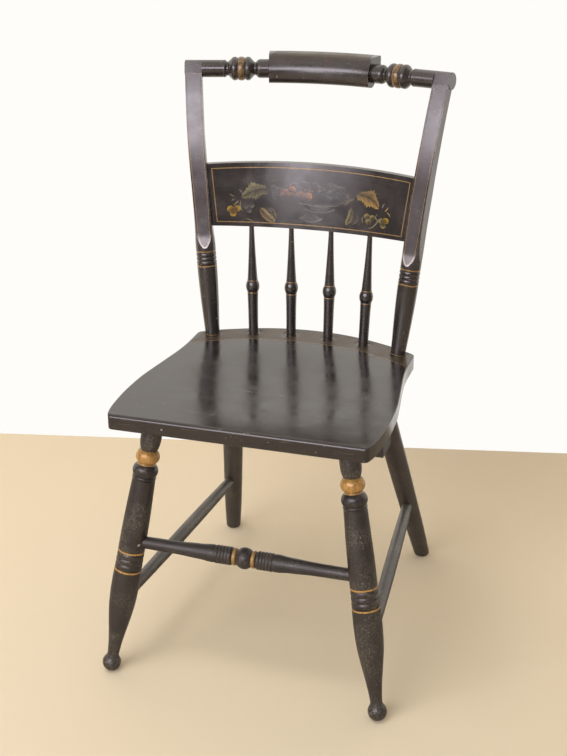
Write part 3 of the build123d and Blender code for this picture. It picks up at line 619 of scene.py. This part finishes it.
def draw_left_spray(art):
    """Leaves, berries and tendrils on the left of the dish."""
    leaf(art, at(-66, 60), at(-112, 46), 25, 2, 9, olive, olive, 0.80, -1, bend=-0.10)
    leaf(art, at(-84, 31), at(-58, 9), 15, 1, 8, old_gold, olive, 1.0, 1, bend=-0.06)
    leaf(art, at(-70, 33), at(-58, 12), 9, 1, 6, olive, bronze, 0.5, 1)
    fruit(art, at(-129, 27), 5.6, yellow, amber, 1.0, (-0.5, 0.5), hollow=0.8)
    fruit(art, at(-119, 28), 5.4, yellow, amber, 1.0, (0.6, 0.4), hollow=0.8)
    fruit(art, at(-125, 20), 5.2, yellow, amber, 1.0, (0.0, -0.8), hollow=0.8)
    for x, h in ((-105, 32), (-96, 34), (-100, 26)):
        fruit(art, at(x, h), 4.6, silver, linear("#4a4238"), 0.55, (0.3, -0.6), hollow=0.4)
    art.stroke(smooth_path([at(-114, 40), at(-114, 32), at(-111, 24)]), 1.2, olive, 0.6, taper=True)
    art.stroke(smooth_path([at(-124, 33), at(-120, 37), at(-117, 40)]), 1.2, bronze, 0.9, taper=True)
    art.stroke(smooth_path([at(-105, 13), at(-99, 11), at(-92, 8)]), 1.0, olive, 0.6, taper=True)
    art.stroke(smooth_path([at(-116, 58), at(-113, 55), at(-111, 52)]), 1.5, silver, 0.8, taper=True)
    art.stroke(smooth_path([at(-131, 51), at(-127, 48), at(-124, 48)]), 1.2, olive, 0.6, taper=True)
    art.stroke(smooth_path([at(-128, 40), at(-124, 43)]), 1.4, silver, 0.6, taper=True)


def draw_right_spray(art):
    """Leaves, berries and tendrils on the right of the dish."""
    leaf(art, at(72, 62), at(111, 45), 26, 2, 9, old_gold, old_gold, 1.0, -1, bend=0.14)
    leaf(art, at(68, 42), at(58, 13), 12, 1, 9, olive, bronze, 0.95, -1, bend=0.06)
    leaf(art, at(74, 38), at(68, 15), 13, 1, 7, linear("#5d5440"), olive, 0.4, 1)
    for x, h, r in ((92, 30, 5.0), (101, 29, 4.6), (95, 22, 5.0)):
        fruit(art, at(x, h), r, bronze, linear("#4e4a2a"), 0.75, (-0.4, 0.6), hollow=0.9)
    fruit(art, at(116, 26), 4.6, olive, moss, 0.85, (-0.6, 0.2), hollow=0.9)
    fruit(art, at(123, 27), 5.0, yellow, linear("#8a6a24"), 1.0, (0.5, 0.5), hollow=0.9)
    fruit(art, at(119, 19), 4.6, bronze, moss, 0.85, (0.0, -0.8), hollow=0.9)
    tendril = [at(109, 36), at(106, 30), at(110, 25), at(106, 19), at(101, 14), at(94, 12)]
    art.stroke(smooth_path(tendril), 1.3, olive, 0.8, taper=True)
    art.stroke(smooth_path([at(86, 30), at(84, 25), at(86, 20)]), 1.2, olive, 0.6, taper=True)
    art.stroke(smooth_path([at(116, 46), at(118, 50), at(120, 53)]), 1.5, silver, 0.8, taper=True)
    art.stroke(smooth_path([at(121, 41), at(124, 44), at(126, 48)]), 1.3, old_gold, 0.8, taper=True)
    art.stroke(smooth_path([at(124, 40), at(128, 38), at(130, 34)]), 1.3, bronze, 0.9, taper=True)


# each layer of the stencil lies over the one before, on a coat of its own
for layer, draw in enumerate((draw_heap, draw_fruit_dish, draw_left_spray, draw_right_spray)):
    stencil = Drawing()
    draw(stencil)
    stencil_paint = black_paint(draw.__name__, slat_middle, rub=0.0, flecks=0.3, sheen=0.14,
                                stencilled=True)
    lay_on(stencil, "back_slat", backwards, stencil_paint, draw.__name__.replace("draw", "stencil"),
           0.08 + 0.09 * layer)


# ------------------------------------------------------------------ gilt lines and worn places
gilt_paint = black_paint("bronze_powder_line", rub=0.0, flecks=0.3, stencilled=True)
rubbed_paint = black_paint("rubbed_deck", rub=0.0, flecks=0.8, sheen=0.36, stencilled=True, ior=1.8)
chip_paint = black_paint("chipped_ground", rub=0.0, flecks=0.0, sheen=0.6, stencilled=True)
rubbed_thickness, line_thickness = 0.06, 0.08
above_seat, above_crest = (0, 0, 0.7), (0, 0, 1.0)

# the rear deck of the seat from above: the right-hand halves of its gilt line and of its edge
deck_line = [(0, 101.5), (50, 99.0), (97, 89.5), (126, 76.0), (152, 63.0), (165, 56.5), (177, 50.0)]
deck_edge = [(0, 157.2), (50, 153.4), (97, 140.5), (126, 129.0), (152, 117.5), (165, 109.5), (172, 103.0)]


def draw_border():
    """A gilt line round the slat, arched above like the slat itself."""
    low_x, low_h, high_x, high_h = 149.7, 6.8, 159.6, 90.0
    arch, parts = 4.8, 40
    border = Drawing()
    ring = straight_path([at(-low_x, low_h), at(low_x, low_h), at(high_x, high_h)])[:-1]
    ring += [at(high_x * k, high_h + arch * (1 - k ** 2))
             for k in (1 - n / parts for n in range(2 * parts))]
    ring += straight_path([at(-high_x, high_h), at(-low_x, low_h)])[:-1]
    border.stroke(ring, 1.4, gilt_line_colour, 0.95, closed=True)
    lay_on(border, "back_slat", backwards, gilt_paint, "slat_border")


def draw_seat_line():
    """A thin gilt line bows across the rear deck of the seat."""
    deck = Drawing(start=above_seat, up=(0, 1, 0))
    whole_line = [(-x, y) for x, y in reversed(deck_line[1:])] + deck_line
    deck.stroke(smooth_path(whole_line, 3.0), 1.5, gilt_line_colour, 0.7)
    lay_on(deck, "seat_plank", downwards, gilt_paint, "seat_line")


def on_line(half, share):
    """The point that share of the way across, on a line that is given by its right-hand half."""
    x = (2 * share - 1) * half[-1][0]
    for a, b in zip(half, half[1:]):
        if abs(x) <= b[0]:
            return x, a[1] + (b[1] - a[1]) * (abs(x) - a[0]) / (b[0] - a[0])


def wear_deck():
    """Behind its gilt line the deck is rubbed brown by cloths and fingers."""
    columns, last_row, short_of_edge = 60, 8, 2.4
    rubbed = Drawing(start=above_seat, up=(0, 1, 0))
    rows = []
    for row in range(last_row + 1):
        line = []
        for column in range(columns + 1):
            a, b = on_line(deck_line, column / columns), on_line(deck_edge, column / columns)
            x, y = (p + (q - p) * row / last_row for p, q in zip(a, b))
            strength = 0.8 if 0 < row < last_row else 0.3
            line.append(rubbed.point(x, y - short_of_edge * row / last_row, worn_brown, strength))
        rows.append(line)
    rubbed.weave(rows)
    lay_on(rubbed, "seat_plank", downwards, rubbed_paint, "seat_deck_wear", rubbed_thickness)


def wear_pillow():
    """Hands on the pillow of the crest have gone through to the brown as well."""
    half, deep, bow = 78.0, 33.0, 650.0
    last_row, parts = 12, 30
    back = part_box("crest_rail")[1].y / MM - 1.5
    pillow = Drawing(start=above_crest, up=(0, 1, 0))
    rows = []
    for row in range(last_row + 1):
        share = row / last_row
        strength = 0.85 * math.sin(math.pi * share) ** 0.5
        rows.append([pillow.point(x, back - deep * share - x * x / bow, worn_brown,
                                  strength * (1.0 - (x / half) ** 8))
                     for x in (half * (n / parts - 1) for n in range(2 * parts + 1))])
    pillow.weave(rows)
    lay_on(pillow, "crest_rail", downwards, rubbed_paint, "pillow_wear", rubbed_thickness)


def smear_pillow():
    """A rusty smear on the front of the pillow."""
    rust = Drawing()
    fruit(rust, (8.6, 870.6), 7.0, linear("#6a4630"), linear("#5a3d2c"), 0.5, (0.0, 0.5), squash=0.7)
    lay_on(rust, "crest_rail", backwards, rubbed_paint, "pillow_rust", rubbed_thickness)


def front_flat(side):
    """Where the front flat of a post lies: rows of (height, inner edge, outer edge), in mm,
    measured outwards along the canted face and felt for with a grid of rays; then the ways out of
    that face and outwards along it."""
    lowest, row_step, row_count = 588.0, 4.4, 60
    nearest, ray_step, ray_count = 110.0, 0.5, 240
    squarely = 0.992        # the cosine that a face on the flat has to the way out
    post = nodes[f"post_{side}"].data
    hull = BVHTree.FromPolygons([v.co for v in post.vertices], [p.vertices for p in post.polygons])
    sign = 1 if side == "right" else -1
    face_out = Vector((-sign * math.sin(post_cant), -math.cos(post_cant), 0))
    outward = Vector((sign * math.cos(post_cant), -math.sin(post_cant), 0))
    rows = []
    for z in (lowest + row_step * n for n in range(row_count)):
        seen = []
        for a in (nearest + ray_step * n for n in range(ray_count)):
            start = MM * a * outward + Vector((0, 0, MM * z)) + stand_off * face_out
            spot, normal, _, _ = hull.ray_cast(start, -face_out)
            if spot is None:
                continue
            level = Vector((normal.x, normal.y, 0)).normalized()
            if level.dot(face_out) > squarely:
                seen.append(a)
        if len(seen) > 4:
            rows.append((z, seen[0], seen[-1]))
    return rows, face_out, outward


def draw_post_lines(side):
    """A gilt line round the flat of a post, which fades towards its top, and a painted highlight,
    a pale band round the tip of the arch at its foot."""
    inset, fade_from, fade_over = 2.3, 150, 60
    highlight_inset, highlight_over = 0.9, 26
    rows, face_out, outward = front_flat(side)
    long = rows[-1][0] - rows[0][0]
    art = Drawing(across=outward, start=stand_off * face_out)

    def loop(edge, blunt):
        """Down one side of the flat, round its arch and up the other side."""
        wide = [row for row in rows if row[2] - row[1] > 2 * edge + blunt]
        inner = [(low + edge, z) for z, low, high in wide]
        outer = [(high - edge, z) for z, low, high in wide]
        tip = ((inner[0][0] + outer[0][0]) / 2, inner[0][1] - 0.45 * blunt)
        return list(reversed(inner)) + [tip] + outer

    def from_tip(share):
        """How many mm a share of the loop lies from the tip."""
        return long * abs(2 * share - 1)

    art.stroke(loop(inset, 2.0), 1.1, gilt_line_colour,
               lambda f: 0.8 - 0.7 * max(0.0, min(1.0, (from_tip(f) - fade_from) / fade_over)))
    # a painted highlight: a pale band round the arch's tip, fading upwards
    art.stroke(loop(highlight_inset, 1.5), 2.0, pale_chip_and_highlight,
               lambda f: 0.85 * max(0.0, 1.0 - from_tip(f) / highlight_over))
    lay_on(art, f"post_{side}", tuple(-face_out), gilt_paint, f"post_{side}_lines", line_thickness)


def chip(node, x, z, wide, high, strength, name):
    """A ragged chip on the front of a piece, knocked down to the pale ground."""
    corners = 16
    art = Drawing()
    ragged = random.Random(name)
    reach = [ragged.uniform(0.6, 1.0) for _ in range(corners)]
    rings = []
    for share in (0.05, 1.0):
        ring = []
        for n in range(corners + 1):
            turn = 2 * math.pi * n / corners
            u = x + 0.5 * wide * share * reach[n % corners] * math.cos(turn)
            v = z + 0.5 * high * share * reach[n % corners] * math.sin(turn)
            ring.append(art.point(u, v, pale_chip_and_highlight, strength))
        rings.append(ring)
    art.weave(rings)
    lay_on(art, node, backwards, chip_paint, name)


draw_border()
draw_seat_line()
wear_deck()
wear_pillow()
smear_pillow()
for side in ("left", "right"):
    draw_post_lines(side)
chip("seat_plank", -106.9, 428.0, 3.4, 2.6, 1.0, "chip_seat_edge")
chip("seat_plank", 118.0, 425.0, 2.4, 1.6, 0.7, "chip_seat_corner")
chip("front_leg_left", -163.3, 218.7, 4.0, 4.6, 1.0, "chip_front_leg")
chip("post_left", -146.4, 470.4, 1.0, 3.4, 0.8, "chip_post")
chip("crest_rail", -66.6, 848.5, 1.0, 4.0, 0.8, "chip_crest")


# ------------------------------------------------------------------ stage, light and camera
def plain(name, colour, back=None, in_gloss=None):
    """A matt stage colour. With in_gloss, glossy coats mirror that colour in its place. With back,
    they mirror a glow of that strength, and the camera looks straight through."""
    material = bpy.data.materials.new(name)
    material.use_nodes = True
    t = material.node_tree
    t.nodes.clear()
    ray = add(t, "ShaderNodeLightPath").outputs
    shader = add(t, "ShaderNodeBsdfDiffuse", {"Color": linear(colour)}).outputs[0]
    if in_gloss is not None:
        seen = add(t, "ShaderNodeBsdfDiffuse", {"Color": linear(in_gloss)}).outputs[0]
        shader = add(t, "ShaderNodeMixShader", {0: ray["Is Glossy Ray"], 1: shader, 2: seen}).outputs[0]
    if back is not None:
        glow = add(t, "ShaderNodeEmission", {"Color": linear(colour), "Strength": back}).outputs[0]
        clear = add(t, "ShaderNodeBsdfTransparent").outputs[0]
        shader = add(t, "ShaderNodeMixShader", {0: ray["Is Glossy Ray"], 1: shader, 2: glow}).outputs[0]
        shader = add(t, "ShaderNodeMixShader", {0: ray["Is Camera Ray"], 1: shader, 2: clear}).outputs[0]
    add(t, "ShaderNodeOutputMaterial", {0: shader})
    return material


def panel(name, corners, material):
    """A flat face of the stage between those corners."""
    mesh = bpy.data.meshes.new(name)
    mesh.from_pydata(corners, [], [range(len(corners))])
    mesh.materials.append(material)
    obj = bpy.data.objects.new(name, mesh)
    bpy.context.scene.collection.objects.link(obj)


# the wall behind the chair, turned a little from it, and the floor in front of that; in metres
wall_foot = Vector((-0.19, 0.5998, 0.0))
wall_turn = math.radians(12.0)
half_wall, wall_height, floor_depth = 3.5, 2.6, 6
wall_way = Vector((math.cos(wall_turn), math.sin(wall_turn), 0.0))
into_room = floor_depth * Vector((wall_way.y, -wall_way.x, 0.0))
to_ceiling = Vector((0, 0, wall_height))
left_end, right_end = wall_foot - half_wall * wall_way, wall_foot + half_wall * wall_way
panel("floor", [left_end, left_end + into_room, right_end + into_room, right_end],
      plain("pale_floor", "#d7c8af", in_gloss="#9f9486"))
panel("wall", [left_end, right_end, right_end + to_ceiling, left_end + to_ceiling],
      plain("white_wall", "#fbf5ec", back=1.1))


def softbox(name, place, aim, wide, tall, strength, lights=True, mirrored=True, colour="#ffffff"):
    """A rectangular lamp of that brightness per unit of its face, that can be left out of the
    light that falls on things or of what shines back from them."""
    lamp = bpy.data.lights.new(name, "AREA")
    lamp.shape = "RECTANGLE"
    lamp.size, lamp.size_y = wide, tall
    lamp.energy = strength * math.pi * wide * tall
    obj = bpy.data.objects.new(name, lamp)
    obj.location = place
    obj.visible_diffuse, obj.visible_glossy = lights, mirrored
    lamp.color = linear(colour)[:3]
    obj.rotation_euler = (Vector(aim) - Vector(place)).to_track_quat("-Z", "Y").to_euler()
    bpy.context.scene.collection.objects.link(obj)


def light_room():
    """A white room: its light on things, the dimmer room that glossy coats mirror, and the paper
    white that the camera sees."""
    world = bpy.data.worlds.new("white_room")
    bpy.context.scene.world = world
    world.use_nodes = True
    t = world.node_tree
    t.nodes.clear()
    ray = add(t, "ShaderNodeLightPath").outputs
    room = add(t, "ShaderNodeBackground", {0: linear("#f6f1ea"), 1: 0.62}).outputs[0]
    mirror = add(t, "ShaderNodeBackground", {0: linear("#d9d2d2"), 1: 0.24}).outputs[0]
    paper = add(t, "ShaderNodeBackground", {0: linear("#fffdf9"), 1: 1.0}).outputs[0]
    mixed = add(t, "ShaderNodeMixShader", {0: ray["Is Glossy Ray"], 1: room, 2: mirror}).outputs[0]
    mixed = add(t, "ShaderNodeMixShader", {0: ray["Is Camera Ray"], 1: mixed, 2: paper}).outputs[0]
    add(t, "ShaderNodeOutputWorld", {0: mixed})


def place_camera(spot, yaw, tilt, roll, lens):
    """A camera at that spot, in metres, turned by those degrees, with a lens of that many mm."""
    camera = bpy.data.cameras.new("camera")
    camera.sensor_width = 36.0
    camera.lens = lens
    eye = bpy.data.objects.new("camera", camera)
    turn = (Matrix.Rotation(math.radians(yaw), 4, "Z")
            @ Matrix.Rotation(math.pi / 2 + math.radians(tilt), 4, "X")
            @ Matrix.Rotation(math.radians(roll), 4, "Z"))
    eye.matrix_world = Matrix.Translation(spot) @ turn
    bpy.context.scene.collection.objects.link(eye)
    bpy.context.scene.camera = eye


# two lamps light the chair, and its gloss mirrors the others: four panes of a window and a ceiling
daylight = "#fbf2fb"
softbox("overhead", (-0.5, -0.8, 2.5), (0, 0, 0.4), 1.1, 0.8, 6.0, mirrored=False)
softbox("window", (-1.2, -3.3, 1.75), (0, 0, 0.7), 3.4, 1.4, 6.9, mirrored=False)
softbox("window_sheen", (-0.75, -3.2, 1.97), (0, 0, 0.8), 3.8, 1.1, 4.0, lights=False, colour=daylight)
softbox("window_head", (-0.75, -3.2, 2.74), (0, 0, 0.8), 3.8, 0.46, 1.9, lights=False, colour=daylight)
softbox("ceiling", (0, -0.2, 2.7), (0, 0, 0), 3.4, 3.0, 0.6, lights=False, colour="#efe2d4")
softbox("low_window", (-0.72, -3.2, 0.98), (0, 0, 0.7), 0.66, 0.86, 3.3, lights=False, colour=daylight)
softbox("low_window_far", (-1.34, -3.2, 0.98), (0, 0, 0.7), 0.56, 0.86, 1.7, lights=False,
        colour=daylight)
light_room()
place_camera((0.5458, -1.7521, 1.2048), yaw=17.42, tilt=-23.15, roll=-0.36, lens=61.39)
bpy.context.scene.view_settings.view_transform = "Standard"
